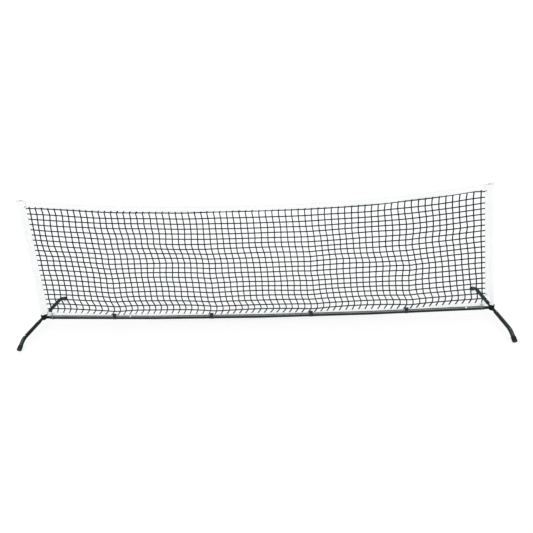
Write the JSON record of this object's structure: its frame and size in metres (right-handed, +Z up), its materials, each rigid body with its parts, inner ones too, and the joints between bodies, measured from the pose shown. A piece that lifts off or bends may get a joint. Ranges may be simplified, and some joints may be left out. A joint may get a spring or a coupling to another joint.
{
  "type": "portable pickleball net",
  "caption": "Portable court net on a low tube base with arched end feet, lift-out posts, taped mesh net and straps that hold its lower edge to the bar.",
  "frame": {"origin": "on the floor, at the middle of the base", "axes": "+X along the crossbar to the right foot, +Y to the back feet, +Z up"},
  "size_m": [3.1332, 0.7232, 0.919],
  "materials": {
    "black_paint": "satin black powder coat",
    "white_paint": "smooth white powder coat",
    "black_rubber": "matt black moulded rubber",
    "white_plastic": "smooth white plastic",
    "spring_steel": "bare steel",
    "netting": "dark slate knotted twine",
    "white_tape": "white woven tape",
    "black_strap": "black hook-and-loop webbing",
    "grey_cord": "thin braided cord",
    "sticker": "blank white vinyl"
  },
  "bodies": {
    "frame": {"bottom_tape": "white_tape", "corner_tie_left": "grey_cord", "corner_tie_right": "grey_cord", "crossbar_tube_1": "black_paint", "crossbar_tube_2": "black_paint", "crossbar_tube_3": "black_paint", "crossbar_tube_4": "black_paint", "foot_hub_left": "black_paint", "foot_hub_right": "black_paint", "foot_leg_back_left": "black_paint", "foot_leg_back_right": "black_paint", "foot_leg_front_left": "black_paint", "foot_leg_front_right": "black_paint", "foot_rubber_back_left": "black_rubber", "foot_rubber_back_right": "black_rubber", "foot_rubber_front_left": "black_rubber", "foot_rubber_front_right": "black_rubber", "headband": "white_tape", "marker_dots": "sticker", "net_eyelets": "spring_steel", "net_mesh": "netting", "net_strap_1": "black_strap", "net_strap_2": "black_strap", "net_strap_3": "black_strap", "net_strap_4": "black_strap", "side_sleeve_left": "white_tape", "side_sleeve_right": "white_tape", "snap_spring_1": "spring_steel", "snap_spring_2": "spring_steel", "snap_spring_3": "spring_steel", "snap_spring_4": "spring_steel", "snap_spring_5": "spring_steel", "snap_spring_6": "spring_steel", "snap_spring_7": "spring_steel", "snap_spring_8": "spring_steel", "snap_spring_9": "spring_steel"},
    "post_left": {"upright_post_left": "white_paint", "upright_cap_left": "white_plastic"},
    "post_right": {"upright_post_right": "white_paint", "upright_cap_right": "white_plastic"},
    "button_1": {"snap_button_1": "spring_steel"},
    "button_2": {"snap_button_2": "spring_steel"},
    "button_3": {"snap_button_3": "spring_steel"},
    "button_4": {"snap_button_4": "spring_steel"},
    "button_5": {"snap_button_5": "spring_steel"},
    "button_6": {"snap_button_6": "spring_steel"},
    "button_7": {"snap_button_7": "spring_steel"},
    "button_8": {"snap_button_8": "spring_steel"},
    "button_9": {"snap_button_9": "spring_steel"}
  },
  "joints": [
    {"name": "post_left_lift", "type": "slide", "parent": "frame", "child": "post_left", "axis": [0, 0, 1], "range_m": [0, 0.06]},
    {"name": "post_right_lift", "type": "slide", "parent": "frame", "child": "post_right", "axis": [-0.0958, 0, 0.9954], "range_m": [0, 0.06]},
    {"name": "button_1_press", "type": "slide", "parent": "frame", "child": "button_1", "axis": [0, 0, -1], "range_m": [0, 0.0043], "stiffness_N_per_m": 900, "springref_m": -0.001, "deforming": ["snap_spring_1"]},
    {"name": "button_2_press", "type": "slide", "parent": "frame", "child": "button_2", "axis": [0, 0, -1], "range_m": [0, 0.0043], "stiffness_N_per_m": 900, "springref_m": -0.001, "deforming": ["snap_spring_2"]},
    {"name": "button_3_press", "type": "slide", "parent": "frame", "child": "button_3", "axis": [0, 0, -1], "range_m": [0, 0.0043], "stiffness_N_per_m": 900, "springref_m": -0.001, "deforming": ["snap_spring_3"]},
    {"name": "button_4_press", "type": "slide", "parent": "frame", "child": "button_4", "axis": [0, 0, -1], "range_m": [0, 0.0043], "stiffness_N_per_m": 900, "springref_m": -0.001, "deforming": ["snap_spring_4"]},
    {"name": "button_5_press", "type": "slide", "parent": "frame", "child": "button_5", "axis": [0, 0, -1], "range_m": [0, 0.0043], "stiffness_N_per_m": 900, "springref_m": -0.001, "deforming": ["snap_spring_5"]},
    {"name": "button_6_press", "type": "slide", "parent": "frame", "child": "button_6", "axis": [0, 0, -1], "range_m": [0, 0.0043], "stiffness_N_per_m": 900, "springref_m": -0.001, "deforming": ["snap_spring_6"]},
    {"name": "button_7_press", "type": "slide", "parent": "frame", "child": "button_7", "axis": [0, 0, -1], "range_m": [0, 0.0043], "stiffness_N_per_m": 900, "springref_m": -0.001, "deforming": ["snap_spring_7"]},
    {"name": "button_8_press", "type": "slide", "parent": "frame", "child": "button_8", "axis": [0, 0, -1], "range_m": [0, 0.0043], "stiffness_N_per_m": 900, "springref_m": -0.001, "deforming": ["snap_spring_8"]},
    {"name": "button_9_press", "type": "slide", "parent": "frame", "child": "button_9", "axis": [0, 0, -1], "range_m": [0, 0.0043], "stiffness_N_per_m": 900, "springref_m": -0.001, "deforming": ["snap_spring_9"]}
  ]
}
